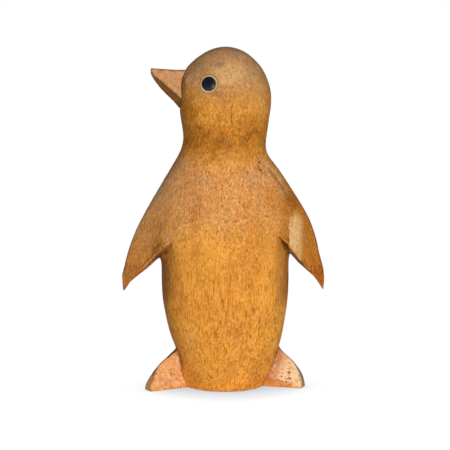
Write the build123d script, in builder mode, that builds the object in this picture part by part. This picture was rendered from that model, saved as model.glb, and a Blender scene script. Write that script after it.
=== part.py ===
"""Carved wooden penguin figurine, standing, with its head turned to its right.

The torso, neck, head and both wings are one carved block. The beak and the two
feet are separate pieces let into housings in the block, each glued on a round
dowel, and each eye is a domed bead on a peg, pushed into a drilled socket.

Frame: origin on the floor under the neck, +Z up, the chest faces -Y, and the
beak points to -X, so the figure's own left wing and left foot are on the +X side.
"""

import os
from math import copysign, cos, pi, radians, sin, sqrt

from build123d import *

os.makedirs("parts", exist_ok=True)

# Overall size and the levels of the carved block, in millimetres
HEIGHT = 200.0
BELLY_HEIGHT = 68.0
CHEST_HEIGHT = 82.0
CROWN_RISE = 31.0
THROAT_LENGTH = 23.0
TORSO_TOP_DROP = 16.0

# Widths run from side to side of the figure, depths from chest to back
BASE_WIDTH = 42.0
BASE_DEPTH = 38.0
BASE_ROUNDING = 2.5
BELLY_WIDTH = 74.0
BELLY_DEPTH = 63.0
BELLY_FORWARD = 2.5
CHEST_DEPTH = 62.0
TORSO_TOP_WIDTH = 40.0
TORSO_TOP_DEPTH = 40.0
NECK_WIDTH = 47.6
NECK_DEPTH = 41.0
HEAD_LENGTH = 52.6
HEAD_WIDTH = 46.0

# Flats cut on the sides of the torso below the wings
FLANK_DEPTH = 0.9
FLANK_ANGLE = 21.0
FLANK_TILT_ANGLE = 3.0

# Wings, which spread from the shoulders and hang free of the torso below the armpits
LEFT_WING_REACH = 57.4
RIGHT_WING_REACH = 60.3
LEFT_SHOULDER_DROP = 8.0
RIGHT_SHOULDER_DROP = 2.5
WING_TIP_HEIGHT = 58.4
WING_TIP_DEPTH = 44.0
LEFT_ARMPIT_HEIGHT = 89.0
RIGHT_ARMPIT_HEIGHT = 84.4
ARMPIT_REACH = 30.5
ARMPIT_HOLLOW = 0.5
ARMPIT_SLOPE_ANGLE = 15.0

# Beak, with a flat top, flat cheeks and bevels that run under to a narrow keel
BEAK_LENGTH = 16.7
BEAK_TENON = 9.3
BEAK_RISE = 17.4
BEAK_TIP_RISE = 1.2
BEAK_TOP_WIDTH = 5.6
BEAK_CHEEK_WIDTH = 13.6
BEAK_KEEL_WIDTH = 3.0
BEAK_CHEEK_DROP = 15.4
BEAK_KEEL_DROP = 22.0
BEAK_KEEL_BULGE = 1.8
BEAK_TIP_TOP_WIDTH = 1.6
BEAK_TIP_CHEEK_WIDTH = 2.4
BEAK_TIP_KEEL_WIDTH = 0.8
BEAK_TIP_CHEEK_DROP = 0.8
BEAK_TIP_KEEL_DROP = 3.2
BEAK_DOWEL_DIAMETER = 5.0
BEAK_DOWEL_LENGTH = 18.0
BEAK_DOWEL_DROP = 11.5

# Eyes, whose beads sit in counterbored sockets square to the surface of the head
EYE_DIAMETER = 8.2
EYE_RIM_HEIGHT = 1.3
EYE_DOME_HEIGHT = 0.9
EYE_FORWARD = 9.6
EYE_RISE = 11.9
EYE_SEAT_DEPTH = 1.5
EYE_SOCKET_MARGIN = 0.5
EYE_PEG_DIAMETER = 3.0
EYE_PEG_LENGTH = 8.0

# Feet, reaching sideways from a line behind the middle and turned forward
FOOT_REACH = 45.1
FOOT_ROOT_REACH = 12.0
LEFT_FOOT_SHOULDER_REACH = 26.5
RIGHT_FOOT_SHOULDER_REACH = 19.5
FOOT_KNUCKLE_REACH = 40.6
FOOT_RIDGE_HEIGHT = 31.0
FOOT_KNUCKLE_HEIGHT = 11.2
FOOT_SOLE_WIDTH = 14.0
FOOT_RIDGE_WIDTH = 5.5
FOOT_TOE_WIDTH = 8.0
FOOT_EASING = 1.0
FOOT_BACK = 11.0
LEFT_FOOT_ANGLE = 20.0
RIGHT_FOOT_ANGLE = 29.0
FOOT_DOWEL_DIAMETER = 4.0
FOOT_DOWEL_LENGTH = 16.0
FOOT_DOWEL_HEIGHT = 10.0

# Fits
GLUE_GAP = 0.15
CUT_OVERRUN = 5.0
DOWEL_CHAMFER = 0.4

# Places of the sections along the block, and how its outline runs between them
LOWER_SHARES = (0, 0.2, 0.4, 0.6, 0.8, 1)
UPPER_SHARES = (0.25, 0.5, 0.75, 1)
MANTLE_SHARES = (1, 0.88, 0.75, 0.62, 0.5, 0.38, 0.25, 0.15, 0.07, 0)
THROAT_SHARES = (0.5, 1)
CROWN_ANGLES = (25, 45, 62, 77)
BEAK_SHARES = (0, 0.4, 0.75, 1)
FULLNESS_SHARE = 1.6
LOWER_FULLNESS_SHARE = 0.92
LEFT_FLARE_SHARE = 0.92
RIGHT_FLARE_SHARE = 1.1
SWELL_SHARE = 1.25
SQUARENESS_SHARE = 1.14
SQUARE_FADE_SHARE = 0.5
WING_THINNING_SHARE = 0.8
RIM_POINTS = 28

# Levels that follow from the sizes above, down from the crown
head_height = HEIGHT - CROWN_RISE
neck_height = head_height - THROAT_LENGTH
torso_top_height = neck_height - TORSO_TOP_DROP
left_shoulder_height = neck_height - LEFT_SHOULDER_DROP
right_shoulder_height = neck_height - RIGHT_SHOULDER_DROP
beak_top_height = head_height + BEAK_RISE


def between(low, high, share):
    """The value that lies a share of the way from low to high."""
    return low + (high - low) * share


def ease(share):
    """A share that leaves 0 and reaches 1 with no slope, held to that range."""
    return (1 - cos(pi * min(1, max(0, share)))) / 2


def flare(height, top, bottom, start_share):
    """How far a swelling has grown at a height, from 0 at its top to 1 at its bottom.

    The larger start_share is, the slower it starts, and it ends with no slope.
    """
    drop = min(1, max(0, (top - height) / (top - bottom)))
    return sin(pi / 2 * drop**start_share)


def lean(height):
    """How far the middle of the block stands forward of the axis, as a place along Y."""
    if height < BELLY_HEIGHT:
        return -BELLY_FORWARD * sin(pi / 2 * height / BELLY_HEIGHT)
    return -BELLY_FORWARD * ease((neck_height - height) / (neck_height - BELLY_HEIGHT))


def ring(height, right, left, depth, thinning=0, squareness=1):
    """A level oval section, which thins out towards its two sides as thinning grows.

    Above a squareness of 1 its four corners fill out towards the rectangle around it.
    """
    rim = []
    for i in range(RIM_POINTS):
        across, along = cos(2 * pi * i / RIM_POINTS), sin(2 * pi * i / RIM_POINTS)
        reach = left if across > 0 else right
        x = reach * copysign(abs(across) ** (1 / squareness), across)
        y = depth / 2 * copysign(abs(along) ** (1 / squareness), along)
        rim.append((x, y * (1 - thinning * across**2)))
    with BuildSketch(Plane((0, lean(height), height))) as section:
        with BuildLine():
            Spline(*rim, periodic=True)
        make_face()
    return section.sketch


def mantle_ring(share):
    """The section over shoulders and wings, a share of the way down from neck to wing tips."""
    height = between(neck_height, WING_TIP_HEIGHT, share)
    swell = flare(height, neck_height, CHEST_HEIGHT, SWELL_SHARE)
    dive = ease((CHEST_HEIGHT - height) / (CHEST_HEIGHT - WING_TIP_HEIGHT))
    left_flare = flare(height, left_shoulder_height, WING_TIP_HEIGHT, LEFT_FLARE_SHARE)
    right_flare = flare(height, right_shoulder_height, WING_TIP_HEIGHT, RIGHT_FLARE_SHARE)
    left = between(NECK_WIDTH / 2, LEFT_WING_REACH, left_flare)
    right = between(NECK_WIDTH / 2, RIGHT_WING_REACH, right_flare)
    depth = between(between(NECK_DEPTH, CHEST_DEPTH, swell), WING_TIP_DEPTH, dive)
    return ring(height, right, left, depth, WING_THINNING_SHARE * swell)


def flank_plane(side):
    """The plane of the flat on one side of the torso, facing out, a little forward and a little up."""
    across, along = side * cos(radians(FLANK_ANGLE)), -sin(radians(FLANK_ANGLE))
    reach = sqrt((BELLY_WIDTH / 2 * across) ** 2 + (BELLY_DEPTH / 2 * along) ** 2) - FLANK_DEPTH
    middle = (across * reach, along * reach + lean(BELLY_HEIGHT), BELLY_HEIGHT)
    return Plane(middle, z_dir=(across, along, sin(radians(FLANK_TILT_ANGLE))))


# Torso, from the floor up to a top that stays inside the shoulders
torso_rings = []
for share in LOWER_SHARES:
    growth = sin(pi / 2 * share**LOWER_FULLNESS_SHARE)
    width = between(BASE_WIDTH, BELLY_WIDTH, growth)
    depth = between(BASE_DEPTH, BELLY_DEPTH, growth)
    squareness = between(1, SQUARENESS_SHARE, growth)
    torso_rings.append(ring(BELLY_HEIGHT * share, width / 2, width / 2, depth, squareness=squareness))
for share in UPPER_SHARES:
    shrink = ease(share**FULLNESS_SHARE)
    width = between(BELLY_WIDTH, TORSO_TOP_WIDTH, shrink)
    depth = between(BELLY_DEPTH, TORSO_TOP_DEPTH, shrink)
    height = between(BELLY_HEIGHT, torso_top_height, share)
    squareness = between(SQUARENESS_SHARE, 1, ease(share / SQUARE_FADE_SHARE))
    torso_rings.append(ring(height, width / 2, width / 2, depth, squareness=squareness))

with BuildPart() as torso:
    loft(torso_rings)
    fillet(torso.edges().group_by(Axis.Z)[0], BASE_ROUNDING)
    for side in (-1, 1):
        split(bisect_by=flank_plane(side), keep=Keep.BOTTOM)

# Mantle, from the wing tips over the shoulders and the neck to the crown of the head
mantle_rings = [mantle_ring(share) for share in MANTLE_SHARES]
for share in THROAT_SHARES:
    length = between(NECK_WIDTH, HEAD_LENGTH, ease(share))
    width = between(NECK_DEPTH, HEAD_WIDTH, ease(share))
    mantle_rings.append(ring(between(neck_height, head_height, share), length / 2, length / 2, width))
for angle in CROWN_ANGLES:
    lift, shrink = sin(radians(angle)), cos(radians(angle))
    reach = HEAD_LENGTH / 2 * shrink
    mantle_rings.append(ring(between(head_height, HEIGHT, lift), reach, reach, HEAD_WIDTH * shrink))

armpit_run = (0, -cos(radians(ARMPIT_SLOPE_ANGLE)), sin(radians(ARMPIT_SLOPE_ANGLE)))
with BuildPart() as mantle:
    loft([*mantle_rings, Vertex(0, 0, HEIGHT)])
    for tip_reach, armpit_reach, armpit_height in (
        (-RIGHT_WING_REACH, -ARMPIT_REACH, RIGHT_ARMPIT_HEIGHT),
        (LEFT_WING_REACH, ARMPIT_REACH, LEFT_ARMPIT_HEIGHT),
    ):
        outside = tip_reach + copysign(CUT_OVERRUN, tip_reach)
        below = WING_TIP_HEIGHT - BELLY_DEPTH
        with BuildSketch(Plane.XZ.offset(-lean(WING_TIP_HEIGHT))):
            with BuildLine():
                tip, armpit = (tip_reach, WING_TIP_HEIGHT), (armpit_reach, armpit_height)
                Polyline(armpit, (armpit_reach, below), (outside, below), (outside, WING_TIP_HEIGHT), tip)
                SagittaArc(tip, armpit, ARMPIT_HOLLOW if tip_reach < 0 else -ARMPIT_HOLLOW)
            make_face()
        extrude(amount=BELLY_DEPTH, dir=armpit_run, both=True, mode=Mode.SUBTRACT)

# Beak: a straight tenon in the head, and outside it a taper to the tip
beak_root = Plane((-HEAD_LENGTH / 2, 0, 0), x_dir=(0, -1, 0), z_dir=(-1, 0, 0))
beak_seat = Plane(
    (BEAK_TENON - HEAD_LENGTH / 2, 0, beak_top_height - BEAK_DOWEL_DROP), x_dir=(0, 1, 0), z_dir=(1, 0, 0)
)


def beak_points(share):
    """The six corners of the beak's section, a share of the way from the head to the tip."""
    top = between(beak_top_height, beak_top_height + BEAK_TIP_RISE, share)
    cheek = top - between(BEAK_CHEEK_DROP, BEAK_TIP_CHEEK_DROP, share)
    keel = top - between(BEAK_KEEL_DROP, BEAK_TIP_KEEL_DROP, share) - BEAK_KEEL_BULGE * sin(pi * share**2)
    half_top = between(BEAK_TOP_WIDTH, BEAK_TIP_TOP_WIDTH, share) / 2
    half_cheek = between(BEAK_CHEEK_WIDTH, BEAK_TIP_CHEEK_WIDTH, share) / 2
    half_keel = between(BEAK_KEEL_WIDTH, BEAK_TIP_KEEL_WIDTH, share) / 2
    corners = ((half_top, top), (half_cheek, cheek), (half_keel, keel))
    return [*corners, *((-x, y) for x, y in reversed(corners))]


def beak_section(share):
    """The section of the beak at a share of the way from the head to the tip."""
    with BuildSketch(beak_root.offset(BEAK_LENGTH * share)) as section:
        with BuildLine():
            Polyline(*beak_points(share), close=True)
        make_face()
    return section.sketch


with BuildPart() as beak:
    loft([beak_section(share) for share in BEAK_SHARES])
    extrude(beak_section(0), amount=-BEAK_TENON)
    with Locations(beak_seat):
        Hole(BEAK_DOWEL_DIAMETER / 2 + GLUE_GAP, BEAK_DOWEL_LENGTH / 2)


def dowel(seat, diameter, length):
    """A round dowel that lies half on each side of its seat."""
    with BuildPart() as pin:
        with BuildSketch(seat):
            Circle(diameter / 2)
        extrude(amount=length / 2, both=True)
        chamfer(pin.edges().filter_by(GeomType.CIRCLE), DOWEL_CHAMFER)
    return pin


beak_dowel = dowel(beak_seat, BEAK_DOWEL_DIAMETER, BEAK_DOWEL_LENGTH)


def foot_plane(side, turn):
    """The floor under a foot, with X running out along the middle of the foot."""
    out = (side * cos(radians(turn)), -sin(radians(turn)), 0)
    return Plane((0, FOOT_BACK, 0), x_dir=out, z_dir=(0, 0, 1))


def foot_form(floor, turn, shoulder_reach, grow=0):
    """A foot standing on its floor plane, with every face but the root pushed out by grow."""
    stretch = 1 / cos(radians(turn))
    root, toe = FOOT_ROOT_REACH * stretch, FOOT_REACH * stretch + grow
    shoulder, knuckle = shoulder_reach * stretch + grow, FOOT_KNUCKLE_REACH * stretch + grow
    ridge_height, knuckle_height = FOOT_RIDGE_HEIGHT + grow, FOOT_KNUCKLE_HEIGHT + grow
    with BuildPart() as form:
        with BuildSketch(Plane(floor.origin, x_dir=floor.x_dir, z_dir=-floor.y_dir)):
            with BuildLine():
                Polyline((toe, -grow), (root, -grow), (root, ridge_height), (shoulder, ridge_height))
                back = Line((shoulder, ridge_height), (knuckle, knuckle_height))
                TangentArc((knuckle, knuckle_height), (toe, -grow), tangent=back % 1)
            make_face()
        extrude(amount=FOOT_SOLE_WIDTH, both=True)
        for side in (-1, 1):
            heel = floor.from_local_coords((root, side * FOOT_SOLE_WIDTH / 2, 0))
            front = floor.from_local_coords((toe, side * FOOT_TOE_WIDTH / 2, 0))
            ridge = floor.from_local_coords((root, side * FOOT_RIDGE_WIDTH / 2, FOOT_RIDGE_HEIGHT))
            outward = (front - heel).cross(ridge - heel) * -side
            flank = Plane(heel, x_dir=front - heel, z_dir=outward)
            split(bisect_by=flank.offset(grow), keep=Keep.BOTTOM)
    return form


def foot_seat(floor, turn):
    """The plane of a foot's root at the height of its dowel, facing out along the foot."""
    root = floor.from_local_coords((FOOT_ROOT_REACH / cos(radians(turn)), 0, FOOT_DOWEL_HEIGHT))
    return Plane(root, x_dir=floor.y_dir, z_dir=floor.x_dir)


def foot(floor, turn, shoulder_reach):
    """A foot with its ridge and flanks eased and its dowel hole drilled."""
    form = foot_form(floor, turn, shoulder_reach)
    with BuildPart() as piece:
        add(form.part)
        flanks = piece.faces().filter_by(lambda face: abs(face.normal_at().dot(floor.y_dir)) > sin(pi / 4))
        edges = [
            edge
            for edge in flanks.edges()
            if floor.to_local_coords(edge.center()).Z > FOOT_EASING
            and floor.to_local_coords(edge.center()).X > (FOOT_ROOT_REACH + FOOT_EASING) / cos(radians(turn))
        ]
        fillet(edges, FOOT_EASING)
        with Locations(-foot_seat(floor, turn)):
            Hole(FOOT_DOWEL_DIAMETER / 2 + GLUE_GAP, FOOT_DOWEL_LENGTH / 2)
    return piece


left_floor, right_floor = foot_plane(1, LEFT_FOOT_ANGLE), foot_plane(-1, RIGHT_FOOT_ANGLE)
left_foot = foot(left_floor, LEFT_FOOT_ANGLE, LEFT_FOOT_SHOULDER_REACH)
right_foot = foot(right_floor, RIGHT_FOOT_ANGLE, RIGHT_FOOT_SHOULDER_REACH)
left_seat, right_seat = foot_seat(left_floor, LEFT_FOOT_ANGLE), foot_seat(right_floor, RIGHT_FOOT_ANGLE)
left_foot_dowel = dowel(left_seat, FOOT_DOWEL_DIAMETER, FOOT_DOWEL_LENGTH)
right_foot_dowel = dowel(right_seat, FOOT_DOWEL_DIAMETER, FOOT_DOWEL_LENGTH)


def eye_plane(side):
    """The plane that touches the head at an eye, facing out."""
    length, width = HEAD_LENGTH / 2, HEAD_WIDTH / 2
    out = width * sqrt(1 - (EYE_FORWARD / length) ** 2 - (EYE_RISE / CROWN_RISE) ** 2)
    normal = (-EYE_FORWARD / length**2, side * out / width**2, EYE_RISE / CROWN_RISE**2)
    return Plane((-EYE_FORWARD, side * out, head_height + EYE_RISE), z_dir=normal)


def eye(plane):
    """A domed bead with its peg, turned about the normal of its plane."""
    seat, rim = -EYE_SEAT_DEPTH, EYE_RIM_HEIGHT - EYE_SEAT_DEPTH
    with BuildPart() as bead:
        with BuildSketch(Plane(plane.origin, x_dir=plane.x_dir, z_dir=-plane.y_dir)):
            with BuildLine():
                Polyline(
                    (0, rim + EYE_DOME_HEIGHT),
                    (0, seat - EYE_PEG_LENGTH),
                    (EYE_PEG_DIAMETER / 2, seat - EYE_PEG_LENGTH),
                    (EYE_PEG_DIAMETER / 2, seat),
                    (EYE_DIAMETER / 2, seat),
                    (EYE_DIAMETER / 2, rim),
                )
                RadiusArc(
                    (EYE_DIAMETER / 2, rim),
                    (0, rim + EYE_DOME_HEIGHT),
                    -((EYE_DIAMETER / 2) ** 2 + EYE_DOME_HEIGHT**2) / (2 * EYE_DOME_HEIGHT),
                )
            make_face()
        revolve(axis=Axis(plane.origin, plane.z_dir))
    return bead


left_eye_plane, right_eye_plane = eye_plane(-1), eye_plane(1)
left_eye, right_eye = eye(left_eye_plane), eye(right_eye_plane)

# Body: the carved block with the housings, dowel holes and sockets of the other pieces
foot_housings = (
    foot_form(left_floor, LEFT_FOOT_ANGLE, LEFT_FOOT_SHOULDER_REACH, GLUE_GAP),
    foot_form(right_floor, RIGHT_FOOT_ANGLE, RIGHT_FOOT_SHOULDER_REACH, GLUE_GAP),
)
with BuildPart() as body:
    add(torso.part)
    add(mantle.part)
    with BuildSketch(beak_root.offset(-BEAK_TENON)):
        with BuildLine():
            Polyline(*beak_points(0), close=True)
        make_face()
        offset(amount=GLUE_GAP, kind=Kind.INTERSECTION)
    extrude(amount=BEAK_TENON + CUT_OVERRUN, mode=Mode.SUBTRACT)
    with Locations(-beak_seat):
        Hole(BEAK_DOWEL_DIAMETER / 2 + GLUE_GAP, BEAK_DOWEL_LENGTH / 2)
    for housing in foot_housings:
        add(housing.part, mode=Mode.SUBTRACT)
    with Locations(left_seat, right_seat):
        Hole(FOOT_DOWEL_DIAMETER / 2 + GLUE_GAP, FOOT_DOWEL_LENGTH / 2)
    with Locations(left_eye_plane, right_eye_plane):
        CounterBoreHole(
            EYE_PEG_DIAMETER / 2 + GLUE_GAP,
            EYE_DIAMETER / 2 + EYE_SOCKET_MARGIN,
            EYE_SEAT_DEPTH,
            EYE_SEAT_DEPTH + EYE_PEG_LENGTH + GLUE_GAP,
        )

pieces = {
    "body": body,
    "beak": beak,
    "beak_dowel": beak_dowel,
    "left_eye": left_eye,
    "right_eye": right_eye,
    "left_foot": left_foot,
    "left_foot_dowel": left_foot_dowel,
    "right_foot": right_foot,
    "right_foot_dowel": right_foot_dowel,
}
for name, piece in pieces.items():
    piece.part.label = name
    export_step(piece.part, f"parts/{name}.step")
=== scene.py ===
"""Carved wooden penguin figurine: carving, stain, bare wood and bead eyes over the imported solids.

The stained block, the beak and the feet are remeshed from their solids and carved by one node tree.
The bead eyes and the hidden dowels keep their solids. The stage is a white floor with soft light.
"""

import bmesh
import bpy
from bpy.props import FloatProperty, FloatVectorProperty, IntProperty, PointerProperty
from bpy.types import Operator, Panel, PropertyGroup
from mathutils import Color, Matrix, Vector


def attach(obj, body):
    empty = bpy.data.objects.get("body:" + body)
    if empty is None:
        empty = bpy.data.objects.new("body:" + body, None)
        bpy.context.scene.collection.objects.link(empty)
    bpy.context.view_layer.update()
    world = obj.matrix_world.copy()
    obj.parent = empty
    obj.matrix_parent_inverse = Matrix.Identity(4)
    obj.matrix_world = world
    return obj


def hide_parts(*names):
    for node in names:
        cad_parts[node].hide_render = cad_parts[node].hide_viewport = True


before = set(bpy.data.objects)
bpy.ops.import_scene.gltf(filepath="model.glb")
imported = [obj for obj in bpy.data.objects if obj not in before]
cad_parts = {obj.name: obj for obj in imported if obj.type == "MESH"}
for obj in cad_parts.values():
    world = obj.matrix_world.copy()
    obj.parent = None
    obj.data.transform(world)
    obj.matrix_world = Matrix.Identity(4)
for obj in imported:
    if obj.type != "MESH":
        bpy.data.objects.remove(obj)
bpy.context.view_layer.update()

bl_info = {
    "name": "Carved penguin figurine",
    "version": (1, 0, 0),
    "blender": (4, 5, 0),
    "location": "View3D > Sidebar > Figurine",
    "description": "Dresses the solids of a carved penguin figurine in stained wood, bare wood and beads",
    "category": "Add Mesh",
}

MM = 0.001
BODY = "root"
HOLLOW = "hollow"

# Sizes of the patterns in the stained wood along X, Y and Z, in millimetres
CLOUD_SIZE = (34, 34, 50)
DRIFT_SIZE = (13, 13, 40)
ASH_SIZE = (19, 19, 23)
MOTTLE_SIZE = (5.5, 5.5, 9)
SPECKLE_SIZE = (0.8, 0.8, 1.7)
GRAIN_SIZE = (1.25, 1.25, 2.2)
STREAK_SIZE = (1.0, 1.0, 8.5)
WAVE_SIZE = (14, 14, 9)
BLOT_SIZE = (5, 5, 3.5)
HIGHLIGHT_FLECK_SIZE = (1.8, 1.8, 7)

# Sizes of the patterns in the bare wood, the beads and the dowels, in millimetres
BARE_CLOUD_SIZE = (8, 8, 8)
BLOTCH_SIZE = (2.6, 2.6, 2.6)
VEIN_SIZE = (1.2, 1.2, 1.6)
BEAD_CLOUD_SIZE = (1.6, 1.6, 1.6)
SCUFF_SIZE = (0.3, 0.3, 0.3)
DOWEL_GRAIN_SIZE = (6, 0.5, 0.5)

# Vessels of the wood: width and length of a cell in millimetres, and the share of cells that hold one
DOTS = (1.45, 2.1, 0.95)
DASHES = (1.25, 6.0, 0.85)
SPECKS = (2.0, 2.4, 0.7)

# Heights on the stained block where a mark has faded out and where it is full, in millimetres; the crown and
# shoulder marks are a painted sheen, the wing hem mark a painted highlight
LOWER_FADE = (100, 60)
BREAST_FADE = (86, 108)
BREAST_TOP_FADE = (146, 124)
WING_TOP_FADE = (138, 118)
WING_BOTTOM_FADE = (50, 60)
WING_HIGHLIGHT_FADE = (80, 68)
TIP_FADE = (56, 38)
THROAT_FADE = (130, 148)
THROAT_TOP_FADE = (174, 148)
HEAD_FADE = (158, 176)
CROWN_FADE = (166, 188)
SHOULDER_TOP_FADE = (146, 130)
HEM_FADE = (5, 1)

# Places across the stained block where a mark has faded out and where it is full, in millimetres; the
# shoulder mark is a painted sheen
WING_FADE = (24, 42)
SHOULDER_FADE = (0, -26)
RIGHT_SIDE_FADE = (2, -2)
LEFT_SIDE_FADE = (-2, 2)
EYE_SIDE_FADE = (0, -2)
BUSY_FADE = (-16, 12)

# A painted highlight on the left wing: where its four sides fade, in millimetres, and how two of them slope
PATCH_INNER_FADE = (36.8, 37.4)
PATCH_OUTER_FADE = (47, 42)
PATCH_TOP_FADE = (107, 101)
PATCH_BOTTOM_FADE = (28, 34)
PATCH_MIDDLE = 41
PATCH_TOP_SLOPE = 0.8
PATCH_BOTTOM_SLOPE = 1.05

# Middle of both eyes in millimetres, each axis without its sign, and the distances where their rings fade
EYE_PLACE = (9.6, 20.1, 180.9)
HALO_FADE = (6.2, 5.6)
RIM_FADE = (5.4, 5.1)

# Places on the bare wood where a stain has faded out and where it is full, in millimetres
LEFT_FOOT_FADE = (5, 15)
BEAK_FADE = (60, 70)
JOINT_FADE = (34, 24)
LEFT_SEAM_FADE = (23.3, 22.4)
RIGHT_SEAM_FADE = (21.3, 20.4)
SLOP_FADE = (5.8, 5.2)
SLOP_END_FADE = (39.5, 38.5)
SLOP_EDGE_HEIGHT = 6.2
SLOP_EDGE_FADE = (0.8, 0.3)
SLOP_EDGE_END_FADE = (40, 36)
SOLE_FADE = (2.4, 0.8)

# How the feet's joints lean across for each millimetre up, and how the slopped stain falls off across
LEFT_JOINT_SLOPE = 0.42
RIGHT_JOINT_SLOPE = 0.37
SLOP_SLOPE = 0.08

# Turns of a face, as one axis of its normal, where a mark has faded out and where it is full; by them the
# crown and shoulder get a painted sheen, the left wing a painted highlight, the feet a painted shade on their
# ridges, and the beak's underside painted shade over its stain
CROWN_TURN = (-0.15, 0.5)
SHOULDER_TURN = (0.14, 0.42)
UNDERSIDE_TURN = (0.1, -0.2)
PATCH_TURN = (0, -0.3)
SEAM_TURN = (-0.6, -0.85)
RIDGE_SHADE_TURN = (0.5, 0.2)
KEEL_TURN = (-0.15, -0.3)

# How far the evened-out surface lies above the carved one, where a mark has faded out and where it is full;
# hollows turn darker brown, the wings' lower edges get a painted highlight, and the other edges of the wings
# and the rims of the beak and feet a painted shade
HOLLOW_BEND = (0.04, 0.25)
WING_HIGHLIGHT_BEND = (-0.08, -0.3)
WING_EDGE_SHADE_BEND = (-0.03, -0.2)
BARE_EDGE_SHADE_BEND = (-0.1, -0.28)

# Gloss of each finish, and the depth of its bumps in millimetres
STAIN_GLOSS = 0.06
BARE_GLOSS = 0.08
BEAD_GLOSS = 0.35
DOWEL_GLOSS = 0.3
WOOD_BUMP = 0.12
BEAD_BUMP = 0.01
DOWEL_BUMP = 0.05

# Sizes of the carving that its inputs leave fixed
MERGE_DISTANCE = 0.001 * MM
BLOCK_FACE_SHARE = 0.36
SMALL_FACE_SHARE = 1.0
SMALL_UNDULATION_SHARE = 1 / 3
SMALL_MARK_SHARE = 1 / 2
FAIRING_CORE_SHARE = 0.75
FAIRING_MARGIN = 12 * MM
FLANK_SIDE_FADE = (38 * MM, 36.5 * MM)
FLANK_BOTTOM_FADE = (10 * MM, 20 * MM)
FLANK_TOP_FADE = (88 * MM, 80 * MM)
GROUND_FADE = (0.5 * MM, 6 * MM)
SEED_STEP = 7.3

# The stage: places and sizes in metres, and linear colours
LAMP_SIZE = 0.6
LAMP_TARGET = (0, 0, 0.1)
KEY_PLACE = (0.24, -1.45, 0.22)
SHEEN_PLACE = (-0.4, 0.4, 1.1)
BACK_PLACE = (0.05, 1.5, 0.25)
VIEW_END = 100
FLOOR_RADIUS = 20
FLOOR_SIDES = 64
SHADOW_REACH = 0.025
SHADOW_SAMPLES = 16
SHADOW_COLOUR = (0.42, 0.46, 0.50, 1)
FLOOR_COLOUR = (0.99, 0.99, 0.99, 1)
FLOOR_LIT_COLOUR = (0.8, 0.8, 0.8, 1)
FLOOR_TINT = (0.06, 0.06, 0.06, 1)
WHITE = (1, 1, 1, 1)

# Marks on the stained block: colour, strength, middle and size in millimetres
STAIN_SPOTS = (
    ("pale", 0.55, (3.0, -17.0, 188.0), (15, 11, 9)),
    ("smudge", 0.45, (-4.0, -15.3, 191.6), (7, 5, 2.2)),
    ("smudge", 0.35, (-3.4, -22.4, 175.1), (6, 4, 2.2)),
    ("pale", 0.6, (0.5, -20.3, 182.5), (6, 5, 3)),
    ("brown", 0.7, (-27.5, -6.0, 178.0), (7, 16, 18)),
    ("ochre", 0.6, (-22.0, -8.0, 165.0), (9, 16, 14)),
    # A painted highlight beside the right armpit
    ("blush", 0.6, (-33.5, -19.0, 91.0), (4, 5, 6)),
    ("brown", 0.3, (38.0, -7.6, 111.8), (8, 7, 7)),
    # Painted shade on both flanks below the wings, in the next two marks
    ("brown", 0.6, (-37.0, -11.0, 68.0), (7, 16, 34)),
    ("brown", 0.4, (38.0, -9.0, 68.0), (4, 14, 24)),
    ("brown", 0.4, (-1.0, -20.0, 146.5), (10, 8, 5)),
    ("brown", 0.35, (14.5, -16.0, 152.5), (5, 6, 3)),
    ("brown", 0.3, (-18.0, -13.0, 151.0), (9, 10, 11)),
    # Painted shade in the notches under both armpits, in the next two marks
    ("vessel_and_shade", 0.5, (36.0, -11.0, 85.0), (4, 9, 7)),
    ("vessel_and_shade", 0.5, (-35.0, -4.0, 83.0), (5, 9, 6)),
    ("honey", 0.8, (-19.1, -24.7, 32.4), (11, 14, 24)),
    ("gleam", 0.2, (-19.1, -24.7, 32.4), (8, 14, 18)),
    ("gleam", 0.12, (25.9, -26.1, 68.0), (7, 14, 22)),
    ("honey", 0.7, (25.9, -26.1, 68.0), (8, 14, 26)),
    ("dust_and_sheen", 0.4, (33.5, -9.0, 121.0), (7, 7, 9)),
    ("pale", 0.2, (20.0, -12.0, 172.0), (9, 11, 13)),
    ("brown", 0.2, (-16.0, -14.0, 188.0), (9, 9, 9)),
    ("pale", 0.2, (32.5, -18.0, 60.0), (2.5, 5, 28)),
)

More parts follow.
